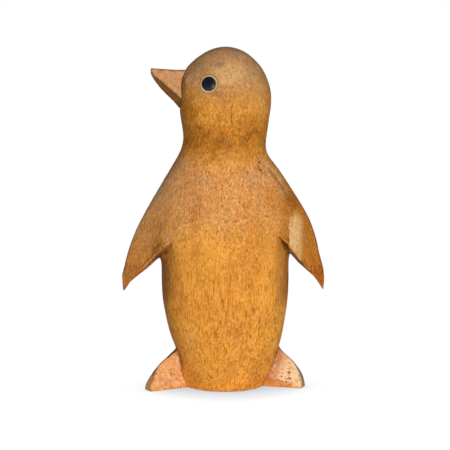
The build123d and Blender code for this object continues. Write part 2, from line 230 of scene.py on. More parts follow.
# Lines on the front of the stained block: colour, strength, both ends and half width in millimetres
STROKES = (
    ("pale", 0.5, (24.3, -9.5, 133.4), (32.1, -7.7, 123.1), 1.7),
    ("brown", 0.4, (25.2, -10.6, 130.6), (29.5, -10.2, 124.4), 1.0),
    ("brown", 0.45, (29.5, -10.2, 124.4), (33.2, -9.2, 118.9), 0.9),
    ("brown", 0.3, (33.2, -9.2, 118.9), (37.7, -7.7, 112.3), 1.4),
    ("vessel_and_shade", 0.85, (19.7, -13.8, 135.0), (19.7, -13.8, 134.2), 0.7),
    ("vessel_and_shade", 0.7, (19.4, -15.0, 133.0), (19.4, -15.1, 131.2), 0.6),
    ("vessel_and_shade", 0.8, (19.8, -15.2, 130.6), (20.8, -15.3, 130.0), 0.7),
    ("vessel_and_shade", 0.6, (14.0, -16.7, 150.1), (12.3, -17.5, 146.8), 0.8),
    ("vessel_and_shade", 0.5, (3.7, -22.5, 167.5), (3.7, -21.6, 158.5), 0.5),
    ("brown", 0.6, (-1.1, -33.2, 57.7), (-1.1, -32.9, 54.1), 0.7),
    # Painted shadow along the lower edges of both wings near the armpits, in the marks from here on
    ("pitch", 0.8, (33.4, -14.0, 88.2), (35.8, -9.0, 84.2), 1.6),
    ("pitch", 0.9, (35.8, -9.0, 84.2), (38.7, -5.0, 79.8), 2.4),
    ("pitch", 0.8, (38.7, -5.0, 79.8), (44.5, -7.0, 74.4), 2.0),
    ("pitch", 0.6, (44.5, -7.0, 74.4), (50.9, -6.5, 68.0), 1.5),
    ("pitch", 0.7, (-34.0, -12.0, 82.2), (-38.7, -6.0, 78.4), 1.9),
    ("pitch", 0.7, (-38.7, -6.0, 78.4), (-44.6, -6.5, 73.4), 1.6),
    ("pitch", 0.5, (-44.6, -6.5, 73.4), (-53.9, -6.2, 65.2), 1.3),
)

# Dark specks on the left foot: middle and size in millimetres
FOOT_SPECKS = (
    ((38.0, -7.0, 5.6), (1.0, 2, 0.9)),
    ((36.9, -6.6, 5.3), (0.8, 2, 0.7)),
    ((37.6, -6.4, 8.8), (0.8, 2, 0.7)),
    ((33.2, -5.2, 6.4), (1.0, 2, 0.6)),
)

# Lines: how much each axis counts in the distance from one, depth only little, and the share that is full
SEEN_FLAT = Vector((1.0, 0.2, 1.0))
STROKE_CORE_SHARE = 0.3

# Places where the whole figure is drawn out or in, across its joints: middle, size and move in millimetres
PULLS = (
    ((-60.0, 0.0, 57.0), (14, 40, 18), (-1.5, 0, -2.6)),
    ((57.0, 0.0, 57.0), (9, 40, 14), (-0.3, 0, -1.5)),
    ((58.0, 0.0, 66.0), (10, 40, 17), (1.2, 0, 0)),
    ((-48.0, 0.0, 71.0), (14, 40, 14), (0.5, 0, -0.9)),
    ((44.0, 0.0, 75.0), (13, 40, 13), (-0.5, 0, -1.2)),
    ((48.0, 0.0, 100.0), (14, 40, 30), (0.9, 0, 0.2)),
    ((24.0, 0.0, 168.0), (14, 40, 40), (0.6, 0, 0)),
    ((-24.0, 0.0, 150.0), (14, 30, 26), (-0.7, 0, 0)),
    ((-36.0, 0.0, 62.0), (26, 60, 50), (-0.8, 0, 0)),
    ((36.0, 0.0, 62.0), (26, 60, 50), (1.0, 0, 0)),
    ((-24.0, 0.0, 184.0), (14, 26, 20), (-1.8, 0, 0)),
    ((-22.0, 0.0, -4.0), (26, 60, 30), (-2.8, 0, 0)),
    ((26.0, 0.0, 16.0), (30, 60, 46), (2.0, 0, 0)),
    ((38.0, -4.0, 13.0), (15, 30, 15), (0.9, 0, 1.3)),
    ((46.5, -5.5, 4.0), (8, 20, 13), (0.9, 0, 0)),
    ((30.0, 1.0, 25.0), (18, 40, 20), (0, 0, -2.2)),
    ((-42.0, -12.0, 9.0), (9, 20, 9), (0.9, 0, 0)),
    ((-46.5, -14.0, -1.0), (8, 20, 8), (-0.2, 0, 0)),
    ((-35.0, -8.0, 15.0), (13, 30, 14), (-1.8, 0, 1.2)),
    ((-41.0, -4.0, 16.0), (20, 9, 16), (2.2, 0, -1.8)),
    ((40.0, 4.0, 16.0), (20, 9, 16), (-2.4, 0, -1.8)),
)

# Knife flats: a point on the flat in millimetres and the way the flat faces
BLOCK_FLATS = (
    ((-15.9, -16.6, 7.6), (-0.60, -0.69, -0.40)),
    ((16.5, -17.2, 9.7), (0.61, -0.70, -0.38)),
    ((-14.0, 17.2, 8.0), (-0.46, 0.84, -0.29)),
    ((13.6, 18.6, 10.0), (0.42, 0.86, -0.29)),
    ((-23.6, 17.5, 30.0), (-0.64, 0.73, -0.24)),
)
BEAK_FLATS = (
    ((-26.5, -6.65, 172.45), (-0.564, -0.714, -0.4165)),
    ((-26.5, 6.65, 172.45), (-0.564, 0.714, -0.4165)),
)


class Wire:
    """A socket of a node tree. Arithmetic on values adds Math nodes to the tree."""

    def __init__(self, wiring, socket):
        self.wiring = wiring
        self.socket = socket

    def output(self, key):
        """Another output of the node that this one comes from."""
        return Wire(self.wiring, pick(self.socket.node.outputs, key))

    def math(self, operation, *others):
        """A Math node on this value and the others."""
        return self.wiring.math(operation, self, *others)

    def __add__(self, other):
        return self.math("ADD", other)

    def __sub__(self, other):
        return self.math("SUBTRACT", other)

    def __rsub__(self, other):
        return self.wiring.math("SUBTRACT", other, self)

    def __mul__(self, other):
        return self.math("MULTIPLY", other)

    def __truediv__(self, other):
        return self.math("DIVIDE", other)

    def __rtruediv__(self, other):
        return self.wiring.math("DIVIDE", other, self)

    def __abs__(self):
        return self.math("ABSOLUTE")

    __radd__ = __add__
    __rmul__ = __mul__


class Wiring:
    """A node tree under construction, of a material or of geometry."""

    def __init__(self, tree):
        self.tree = tree

    def node(self, kind, settings=None, sockets=None, output=0):
        """A new node: its settings, then the values or links of its sockets. Gives one of its outputs."""
        node = self.tree.nodes.new(kind)
        for name, value in (settings or {}).items():
            setattr(node, name, value)
        for key, value in (sockets or {}).items():
            socket = pick(node.inputs, key)
            if isinstance(value, Wire):
                self.tree.links.new(value.socket, socket)
            else:
                socket.default_value = value
        return Wire(self, pick(node.outputs, output)) if node.outputs else node

    def math(self, operation, *values):
        """A Math node on values or wires."""
        return self.node("ShaderNodeMath", {"operation": operation}, dict(enumerate(values)))

    def vector(self, operation, *values, output=0):
        """A Vector Math node on vectors or wires."""
        return self.node("ShaderNodeVectorMath", {"operation": operation}, dict(enumerate(values)), output)

    def smooth(self, value, low, high):
        """0 before low and 1 after high, eased between them. Low may lie above high."""
        sockets = {"Value": value, "From Min": low, "From Max": high}
        return self.node("ShaderNodeMapRange", {"interpolation_type": "SMOOTHSTEP"}, sockets)

    def noise(self, place, detail, roughness=0.5):
        """Cloudy noise around a half, whose clouds are about one unit of place across."""
        sockets = {"Vector": place, "Scale": 1.0, "Detail": detail, "Roughness": roughness}
        return self.node("ShaderNodeTexNoise", None, sockets)

    def mix(self, share, first, second):
        """The colour a share of the way from first to second."""
        sockets = {"Factor_Float": share, "A_Color": first, "B_Color": second}
        return self.node("ShaderNodeMix", {"data_type": "RGBA"}, sockets, "Result_Color")

    def times(self, vector, factor):
        """A colour or vector times a factor."""
        return self.node("ShaderNodeVectorMath", {"operation": "SCALE"}, {0: vector, "Scale": factor})

    def scaled(self, place, x, y, z):
        """A place with each axis divided by a size."""
        return self.vector("MULTIPLY", place, (1 / x, 1 / y, 1 / z))

    def axes(self, place):
        """The three values of a place or direction."""
        split = self.node("ShaderNodeSeparateXYZ", None, {0: place})
        return split, split.output("Y"), split.output("Z")

    def spot(self, place, middle, size, rag=0.0, core=0.4):
        """1 in the core of a soft ellipsoid and 0 outside it, with an edge made uneven by a rag value."""
        offset = self.scaled(self.vector("SUBTRACT", place, middle), *size)
        return self.smooth(self.vector("LENGTH", offset, output="Value") + rag, 1.0, core)

    def stroke(self, place, start, end, width, rag):
        """1 on a line from start to end as seen from the front, and 0 a width away from it."""
        start = Vector(start) * SEEN_FLAT
        way = Vector(end) * SEEN_FLAT - start
        offset = self.vector("SUBTRACT", self.vector("MULTIPLY", place, tuple(SEEN_FLAT)), tuple(start))
        settings = {"operation": "DIVIDE", "use_clamp": True}
        along = self.vector("DOT_PRODUCT", offset, tuple(way), output="Value")
        share = self.node("ShaderNodeMath", settings, {0: along, 1: way.length_squared})
        distance = self.vector("DISTANCE", offset, self.times(tuple(way), share), output="Value")
        return self.smooth(distance + rag * width, width, STROKE_CORE_SHARE * width)


def pick(sockets, key):
    """A socket by its place, its identifier or its name."""
    if isinstance(key, int):
        return sockets[key]
    return next(socket for socket in sockets if key in (socket.identifier, socket.name))


def paint(colour):
    """A colour as it looks on a screen, as the linear colour of a shader."""
    return (*Color(colour).from_srgb_to_scene_linear(), 1.0)


def new_material(name):
    """An empty material, the wiring of its tree and a place on the piece in millimetres."""
    material = bpy.data.materials.new(name)
    material.use_nodes = True
    material.node_tree.nodes.clear()
    wiring = Wiring(material.node_tree)
    local = wiring.node("ShaderNodeTexCoord", None, None, "Object")
    return material, wiring, wiring.vector("MULTIPLY", local, (1 / MM,) * 3)


def finish_material(wiring, colour, roughness, gloss, height, depth):
    """Ends a material in a shader of a colour, roughness and gloss, bumped by a height times a depth."""
    normal = wiring.node("ShaderNodeBump", None, {"Height": height, "Distance": depth * MM})
    sockets = {"Base Color": colour, "Roughness": roughness, "Specular IOR Level": gloss, "Normal": normal}
    shader = wiring.node("ShaderNodeBsdfPrincipled", None, sockets)
    wiring.node("ShaderNodeOutputMaterial", None, {"Surface": shader})


def pores(wiring, place, width, length, keep):
    """Dark vessels of the wood, long along Z: 1 in a vessel. Keep is the share of cells that hold one."""
    cells = wiring.scaled(place, width, width, length)
    distance = wiring.node("ShaderNodeTexVoronoi", None, {"Vector": cells, "Scale": 1.0, "Randomness": 1.0})
    draw = wiring.node("ShaderNodeSeparateColor", None, {"Color": distance.output("Color")})
    chosen = wiring.smooth(draw, 1 - keep, 1.0)
    size = 0.3 + 0.16 * draw.output("Green")
    return chosen * wiring.smooth(distance, size, size * 0.5)


def stained_wood(tone):
    """The stained block: streaks and vessels along Z, darker brown in hollows, worn and pale places, painted
    sheen, highlights and shade.
    """
    material, wiring, place = new_material("stained_wood")
    across, _, height = wiring.axes(place)
    _, facing_back, facing_up = wiring.axes(wiring.node("ShaderNodeTexCoord", None, None, "Normal"))

    clouds = wiring.noise(wiring.scaled(place, *CLOUD_SIZE), 3.0)
    drift = wiring.noise(wiring.scaled(place, *DRIFT_SIZE), 3.0, 0.6)
    ash = wiring.noise(wiring.scaled(place, *ASH_SIZE), 3.0, 0.6)
    mottle = wiring.noise(wiring.scaled(place, *MOTTLE_SIZE), 3.0, 0.6)
    speckle = wiring.noise(wiring.scaled(place, *SPECKLE_SIZE), 1.0, 0.6)
    grains = wiring.noise(wiring.scaled(place, *GRAIN_SIZE), 2.0, 0.65)
    streaks = wiring.noise(wiring.scaled(place, *STREAK_SIZE), 2.0, 0.65)
    waves = wiring.noise(wiring.scaled(place, *WAVE_SIZE), 3.0)
    blots = wiring.noise(wiring.scaled(place, *BLOT_SIZE), 3.0, 0.7)
    highlight_flecks = wiring.noise(wiring.scaled(place, *HIGHLIGHT_FLECK_SIZE), 2.0, 0.6)
    dots = pores(wiring, place, *DOTS)
    dashes = pores(wiring, place, *DASHES)
    rag = 0.8 * (mottle - 0.5) + 1.2 * (speckle - 0.5)

    colour = wiring.mix(wiring.smooth(clouds, 0.35, 0.65), paint(tone.stain), paint(tone.honey))
    lower = wiring.smooth(height, *LOWER_FADE)
    breast = wiring.smooth(height + 10 * rag, *BREAST_FADE) * wiring.smooth(height, *BREAST_TOP_FADE)
    colour = wiring.mix(breast * 0.85, colour, paint(tone.rose))
    colour = wiring.mix(wiring.smooth(drift, 0.48, 0.66) * 0.55, colour, paint(tone.amber))
    colour = wiring.mix(wiring.smooth(ash, 0.5, 0.68) * (0.05 + 0.5 * breast), colour, paint(tone.dust_and_sheen))
    wing = wiring.smooth(abs(across) + 9 * (clouds - 0.5), *WING_FADE)
    wing = wing * wiring.smooth(height, *WING_TOP_FADE) * wiring.smooth(height, *WING_BOTTOM_FADE)
    left_side = wiring.smooth(across, *LEFT_SIDE_FADE)
    colour = wiring.mix(wing * wiring.smooth(across, *RIGHT_SIDE_FADE), colour, paint(tone.umber))
    colour = wiring.mix(wing * left_side, colour, paint(tone.russet))
    tip = wing * wiring.smooth(height - 0.5 * abs(across) + 12 * rag, *TIP_FADE)
    colour = wiring.mix(tip * (0.62 + 0.38 * left_side), colour, paint(tone.chestnut))
    wavy = height + 28 * (waves - 0.5) + 6 * rag
    throat = wiring.smooth(wavy, *THROAT_FADE) * wiring.smooth(wavy, *THROAT_TOP_FADE)
    colour = wiring.mix(throat * 0.64, colour, paint(tone.ochre))
    colour = wiring.mix(throat * wiring.smooth(blots, 0.48, 0.66) * 0.6, colour, paint(tone.brown))

    head = wiring.smooth(wavy, *HEAD_FADE)
    colour = wiring.mix(head * 0.75, colour, paint(tone.sand))
    # Painted sheen: the crown and the right shoulder turn paler and greyer where their faces turn up
    crown = wiring.smooth(height + 12 * rag, *CROWN_FADE) * wiring.smooth(facing_up, *CROWN_TURN)
    shoulder = wiring.smooth(across, *SHOULDER_FADE) * wiring.smooth(height, *SHOULDER_TOP_FADE)
    shoulder = shoulder * wiring.smooth(facing_up, *SHOULDER_TURN)
    sheen_strength = 0.75 + 0.9 * (ash - 0.5) + 0.4 * rag
    colour = wiring.mix((crown * 0.9 + shoulder * 0.7) * sheen_strength, colour, paint(tone.dust_and_sheen))

    hollow = wiring.node("ShaderNodeAttribute", {"attribute_name": HOLLOW}, None, "Fac")
    colour = wiring.mix(wiring.smooth(hollow, *HOLLOW_BEND) * 0.85, colour, paint(tone.brown))
    under = wiring.smooth(facing_up, *UNDERSIDE_TURN)
    # Painted highlight along the wings' lower edges, on rounded faces turned down
    wing_edge_highlight = wiring.smooth(hollow, *WING_HIGHLIGHT_BEND) * under * wiring.smooth(height, *WING_HIGHLIGHT_FADE)
    colour = wiring.mix(wing_edge_highlight * 0.35, colour, paint(tone.hem))
    # Painted shade on the other rounded edges of the wings, those not turned down
    edges = wiring.smooth(hollow, *WING_EDGE_SHADE_BEND) * (1 - under) * wing
    colour = wiring.mix(edges * 0.8, colour, paint(tone.brown))
    hem = wiring.smooth(height + 4 * rag, *HEM_FADE)
    colour = wiring.mix(hem * 0.6, colour, paint(tone.hem))

    for shade, share, middle, size in STAIN_SPOTS:
        mark = wiring.spot(place, middle, size, rag) * share
        colour = wiring.mix(mark, colour, paint(getattr(tone, shade)))
    # Painted highlight on the left wing's face beside the crease, flecked paler
    patch_top = height + PATCH_TOP_SLOPE * abs(across - PATCH_MIDDLE) + 7 * rag
    patch_bottom = height - PATCH_BOTTOM_SLOPE * across + 4 * rag
    wing_highlight = wiring.smooth(across + rag, *PATCH_INNER_FADE)
    wing_highlight = wing_highlight * wiring.smooth(across + 4 * rag, *PATCH_OUTER_FADE)
    wing_highlight = wing_highlight * wiring.smooth(patch_top, *PATCH_TOP_FADE)
    wing_highlight = wing_highlight * wiring.smooth(patch_bottom, *PATCH_BOTTOM_FADE)
    wing_highlight = wing_highlight * wiring.smooth(facing_back, *PATCH_TURN)
    colour = wiring.mix(wing_highlight * 0.95, colour, paint(tone.pale))
    colour = wiring.mix(wing_highlight * wiring.smooth(highlight_flecks, 0.5, 0.62) * 0.45, colour, paint(tone.rim))
    for shade, share, start, end, width in STROKES:
        mark = wiring.stroke(place, start, end, width, 0.6 * rag) * share
        colour = wiring.mix(mark, colour, paint(getattr(tone, shade)))

    mirrored = wiring.vector("ABSOLUTE", place)
    reach = wiring.vector("DISTANCE", mirrored, EYE_PLACE, output="Value")
    eye_side = wiring.smooth(across, *EYE_SIDE_FADE)
    halo = wiring.smooth(reach + 0.3 * rag, *HALO_FADE) * eye_side
    colour = wiring.mix(halo * 0.6, colour, paint(tone.brown))
    rim = wiring.smooth(reach + 0.3 * rag, *RIM_FADE) * eye_side
    colour = wiring.mix(rim, colour, paint(tone.rim))

    plain = 1 - 0.45 * wiring.math("MAXIMUM", head, wing) - 0.3 * wing_highlight
    busy = wiring.smooth(across + 14 * (drift - 0.5), *BUSY_FADE)
    dashes = dashes * lower * (0.75 + 0.35 * busy)
    vessels = wiring.math("MAXIMUM", dots * (1 - 0.8 * lower), dashes) * plain
    dappled = plain * (1 - 0.7 * lower)
    colour = wiring.mix(wiring.smooth(grains, 0.5, 0.66) * dappled * 0.5, colour, paint(tone.grain))
    gleaming = dappled * (0.4 - 0.3 * throat)
    colour = wiring.mix(wiring.smooth(grains, 0.47, 0.34) * gleaming, colour, paint(tone.gleam))
    colour = wiring.mix(wiring.smooth(streaks, 0.5, 0.61) * lower * 0.75, colour, paint(tone.streak))
    colour = wiring.mix(wiring.smooth(streaks, 0.47, 0.36) * lower * 0.35, colour, paint(tone.gleam))
    colour = wiring.mix(vessels * (0.68 + 0.06 * lower), colour, paint(tone.fleck))
    flicker = 1 + 0.07 * lower + (speckle - 0.5) + 0.5 * (mottle - 0.5)
    flicker = flicker + (0.4 + 0.5 * lower) * (streaks - 0.5)
    colour = wiring.times(colour, flicker)
    bump = 0.35 * streaks + 0.35 * speckle - 0.5 * vessels
    roughness = 0.56 + 0.14 * mottle + 0.12 * vessels
    finish_material(wiring, colour, roughness, STAIN_GLOSS, bump, WOOD_BUMP)
    return material


def bare_wood(tone):
    """The beak and feet: pale mottled wood, stain slopped on the left foot, painted shade on the ridges and
    rims, and stain with painted shade on the beak's underside.
    """
    material, wiring, place = new_material("bare_wood")
    across, _, height = wiring.axes(place)
    _, facing_back, facing_up = wiring.axes(wiring.node("ShaderNodeTexCoord", None, None, "Normal"))
    clouds = wiring.noise(wiring.scaled(place, *BARE_CLOUD_SIZE), 3.0)
    blotches = wiring.noise(wiring.scaled(place, *BLOTCH_SIZE), 3.0, 0.6)
    veins = wiring.noise(wiring.scaled(place, *VEIN_SIZE), 2.0, 0.65)
    specks = pores(wiring, place, *SPECKS)
    rag = 0.9 * (blotches - 0.5) + 0.7 * (veins - 0.5)

    left = wiring.smooth(across, *LEFT_FOOT_FADE)
    beak = wiring.smooth(height, *BEAK_FADE)
    colour = wiring.mix(wiring.smooth(clouds, 0.3, 0.7), paint(tone.wood), paint(tone.blush))
    pale = wiring.smooth(blotches, 0.42 - 0.16 * left, 0.58 - 0.1 * left) * (0.25 + 0.7 * left)
    colour = wiring.mix(pale, colour, paint(tone.cream))
    colour = wiring.mix(beak * 0.85, colour, paint(tone.bill))
    colour = wiring.mix(wiring.smooth(veins, 0.54, 0.7) * (0.55 + 0.25 * left), colour, paint(tone.vein))

    from_left_joint = across - LEFT_JOINT_SLOPE * height
    from_right_joint = 0 - across - RIGHT_JOINT_SLOPE * height
    joint = left * wiring.smooth(from_left_joint + 10 * rag, *JOINT_FADE)
    smudges = wiring.smooth(0.5 * (blotches + veins) + 0.1 * joint, 0.51, 0.61)
    colour = wiring.mix(joint * smudges * 0.9, colour, paint(tone.vein))
    left_seam = left * wiring.smooth(from_left_joint + 1.5 * rag, *LEFT_SEAM_FADE)
    right_seam = (1 - left) * wiring.smooth(from_right_joint + 1.5 * rag, *RIGHT_SEAM_FADE)
    seam = (left_seam + right_seam) * (1 - beak) * wiring.smooth(facing_back, *SEAM_TURN)
    colour = wiring.mix(seam * 0.5, colour, paint(tone.dark_stain_and_shade))
    slop_height = height + SLOP_SLOPE * across + 2.5 * rag
    slop = left * wiring.smooth(slop_height, *SLOP_FADE) * wiring.smooth(across + 2 * rag, *SLOP_END_FADE)
    slop_edge = left * wiring.smooth(abs(slop_height - SLOP_EDGE_HEIGHT), *SLOP_EDGE_FADE)
    slop_edge = slop_edge * wiring.smooth(across + 4 * rag, *SLOP_EDGE_END_FADE)
    colour = wiring.mix(slop_edge * 0.8, colour, paint(tone.vein))
    colour = wiring.mix(slop * 0.85, colour, paint(tone.amber))
    sole = wiring.smooth(height + 2 * rag, *SOLE_FADE)
    colour = wiring.mix(sole * 0.6, colour, paint(tone.hem))

    # Painted shade on the faces of the feet that turn neither to the front nor to the back
    ridge_shade = (1 - beak) * wiring.smooth(abs(facing_back) + 0.25 * rag, *RIDGE_SHADE_TURN)
    colour = wiring.mix(ridge_shade * 0.8, colour, paint(tone.dark_stain_and_shade))
    # Stain on the beak's underside, with painted shade where its faces turn down
    under = beak * wiring.smooth(facing_up + 0.15 * rag, *KEEL_TURN)
    colour = wiring.mix(under * 0.85, colour, paint(tone.keel))
    hollow = wiring.node("ShaderNodeAttribute", {"attribute_name": HOLLOW}, None, "Fac")
    # Painted shade on the rounded rims of the beak and feet, darkest on the rims of the beak's underside
    rim = wiring.smooth(hollow + 0.3 * rag, *BARE_EDGE_SHADE_BEND)
    colour = wiring.mix(rim * 0.5, colour, paint(tone.dark_stain_and_shade))
    colour = wiring.mix(rim * under * 0.8, colour, paint(tone.vessel_and_shade))
    for middle, size in FOOT_SPECKS:
        colour = wiring.mix(wiring.spot(place, middle, size, rag) * 0.85, colour, paint(tone.vessel_and_shade))
    colour = wiring.mix(specks * 0.5, colour, paint(tone.vein))
    flicker = 1 + 1.4 * (veins - 0.5) + 0.8 * (blotches - 0.5)
    colour = wiring.times(colour, flicker)

    bump = 0.5 * veins + 0.4 * blotches - 0.5 * specks
    finish_material(wiring, colour, 0.55 + 0.15 * veins, BARE_GLOSS, bump, WOOD_BUMP)
    return material


def eye_bead(tone):
    """The glossy black of a bead, slightly clouded."""
    material, wiring, place = new_material("eye_bead")
    clouds = wiring.noise(wiring.scaled(place, *BEAD_CLOUD_SIZE), 3.0)
    colour = wiring.mix(wiring.smooth(clouds, 0.35, 0.7), paint(tone.bead), paint(tone.bead_sheen))
    scuffs = wiring.noise(wiring.scaled(place, *SCUFF_SIZE), 2.0)
    finish_material(wiring, colour, 0.24 + 0.14 * scuffs, BEAD_GLOSS, scuffs, BEAD_BUMP)
    return material


def dowel_wood(tone):
    """The straight pale grain of a turned dowel."""
    material, wiring, place = new_material("dowel_wood")
    grain = wiring.noise(wiring.scaled(place, *DOWEL_GRAIN_SIZE), 3.0, 0.6)
    colour = wiring.mix(wiring.smooth(grain, 0.35, 0.7), paint(tone.cream), paint(tone.wood))
    finish_material(wiring, colour, 0.6 + 0.1 * grain, DOWEL_GLOSS, grain, DOWEL_BUMP)
    return material


def carving_tree(name, flats):
    """The node tree that carves a remeshed piece, with its knife flats, and marks its hollows and rims."""
    tree = bpy.data.node_groups.new(f"{name}_carving", "GeometryNodeTree")
    wiring = Wiring(tree)
    tree.interface.new_socket("Geometry", in_out="OUTPUT", socket_type="NodeSocketGeometry")
    inputs = (
        ("Geometry", "NodeSocketGeometry"),
        ("Fairing Steps", "NodeSocketInt"),
        ("Fairing Half Width", "NodeSocketFloat"),
        ("Fairing Bottom", "NodeSocketFloat"),
        ("Fairing Top", "NodeSocketFloat"),
        ("Flank Fairing", "NodeSocketFloat"),
        ("Easing Steps", "NodeSocketInt"),
        ("Undulation Size", "NodeSocketFloat"),
        ("Undulation Depth", "NodeSocketFloat"),
        ("Tool Mark Size", "NodeSocketFloat"),
        ("Tool Mark Depth", "NodeSocketFloat"),
        ("Marking Steps", "NodeSocketInt"),
        ("Seed", "NodeSocketInt"),
        ("Material", "NodeSocketMaterial"),
    )
    for label, kind in inputs:
        tree.interface.new_socket(label, in_out="INPUT", socket_type=kind)
    given = wiring.node("NodeGroupInput")
    solid = given.output("Geometry")

    def blurred(steps, weight=1.0):
        """The place of a point evened out with its neighbours."""
        sockets = {"Value": wiring.node("GeometryNodeInputPosition"), "Iterations": steps, "Weight": weight}
        return wiring.node("GeometryNodeBlurAttribute", {"data_type": "FLOAT_VECTOR"}, sockets)

    def moved(geometry, place=None, offset=None):
        """The geometry with its points set to a place or moved by an offset."""
        sockets = {"Geometry": geometry}
        if place is not None:
            sockets["Position"] = place
        if offset is not None:
            sockets["Offset"] = offset
        return wiring.node("GeometryNodeSetPosition", None, sockets)

    position = wiring.node("GeometryNodeInputPosition")
    across, _, height = wiring.axes(position)
    half = given.output("Fairing Half Width")
    bottom, top = given.output("Fairing Bottom"), given.output("Fairing Top")
    chest = wiring.smooth(abs(across), half, half * FAIRING_CORE_SHARE)
    chest = chest * wiring.smooth(height, bottom, bottom + FAIRING_MARGIN)
    chest = chest * wiring.smooth(height, top, top - FAIRING_MARGIN)
    flank = wiring.smooth(abs(across), *FLANK_SIDE_FADE) * wiring.smooth(height, *FLANK_BOTTOM_FADE)
    flank = flank * wiring.smooth(height, *FLANK_TOP_FADE) * given.output("Flank Fairing")
    fairing = wiring.math("MAXIMUM", chest, flank)
    faired = moved(solid, blurred(given.output("Fairing Steps"), fairing))
    eased = moved(faired, blurred(given.output("Easing Steps")))
    place = wiring.vector("MULTIPLY", position, (1 / MM,) * 3)
    for spot, size, move in PULLS:
        share = wiring.spot(place, spot, size, core=0.0)
        eased = moved(eased, offset=wiring.times(tuple(Vector(move) * MM), share))

    def push(size, depth, detail):
        """A push along the normal, by noise of a size and a depth."""
        seed = given.output("Seed") * SEED_STEP
        sockets = {"W": seed, "Vector": position, "Scale": 1 / size, "Detail": detail}
        noise = wiring.node("ShaderNodeTexNoise", {"noise_dimensions": "4D"}, sockets)
        return (noise - 0.5) * 2.0 * depth

    depth = push(given.output("Undulation Size"), given.output("Undulation Depth"), 1.0)
    depth = depth + push(given.output("Tool Mark Size"), given.output("Tool Mark Depth"), 2.0)
    grounded = wiring.smooth(height, *GROUND_FADE)
    normal = wiring.node("GeometryNodeInputNormal")
    carved = moved(eased, offset=wiring.times(normal, depth * grounded))
    for spot, way in flats:
        way = Vector(way).normalized()
        reach = wiring.vector("DOT_PRODUCT", position, tuple(way), output="Value")
        cut = wiring.math("MAXIMUM", reach - way.dot(Vector(spot) * MM), 0.0)
        carved = moved(carved, offset=wiring.times(tuple(-way), cut))

    change = wiring.vector("SUBTRACT", blurred(given.output("Marking Steps")), position)
    bend = wiring.vector("DOT_PRODUCT", change, normal, output="Value") / MM
    settings = {"data_type": "FLOAT", "domain": "POINT"}
    sockets = {0: carved, "Name": HOLLOW, "Value": bend}
    marked = wiring.node("GeometryNodeStoreNamedAttribute", settings, sockets)
    smoothed = wiring.node("GeometryNodeSetShadeSmooth", None, {0: marked})
    realized = wiring.node("GeometryNodeRealizeInstances", None, {0: smoothed})
    sockets = {0: realized, "Material": given.output("Material")}
    dressed = wiring.node("GeometryNodeSetMaterial", None, sockets)
    wiring.node("NodeGroupOutput", None, {"Geometry": dressed})
    return tree


def carved_piece(name, voxel, keep, material, values, flats):
    """A piece made from the solid of the same node: merged, remeshed in even faces, thinned and carved."""
    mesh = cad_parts[name].data.copy()
    form = bmesh.new()
    form.from_mesh(mesh)
    bmesh.ops.remove_doubles(form, verts=form.verts, dist=MERGE_DISTANCE)
    form.to_mesh(mesh)
    form.free()
    piece = bpy.data.objects.new(f"{name}_carved", mesh)
    bpy.context.scene.collection.objects.link(piece)
    even = piece.modifiers.new("even_faces", "REMESH")
    even.mode = "VOXEL"
    even.voxel_size = voxel
    thin = piece.modifiers.new("fewer_faces", "DECIMATE")
    thin.ratio = keep
    carving = piece.modifiers.new("carving", "NODES")
    carving.node_group = carving_tree(name, flats)
    values = {**values, "Material": material}
    for item in carving.node_group.interface.items_tree:
        if item.in_out == "INPUT" and item.name in values:
            carving[item.identifier] = values[item.name]
    return settle(piece, name)


def settle(piece, name):
    """Bakes a piece's modifiers into a plain mesh and lets it stand for its node."""
    depsgraph = bpy.context.evaluated_depsgraph_get()
    mesh = bpy.data.meshes.new_from_object(piece.evaluated_get(depsgraph))
    piece.modifiers.clear()
    piece.data = mesh
    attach(piece, BODY)
    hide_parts(name)
    return piece


def colour_setting(name, description, default):
    """A colour property, given as it looks on a screen."""
    return FloatVectorProperty(
        name=name, description=description, subtype="COLOR_GAMMA", size=3, min=0, max=1, default=default
    )


def length_setting(name, description, default):
    """A length property in metres."""
    return FloatProperty(name=name, description=description, unit="LENGTH", precision=5, default=default)


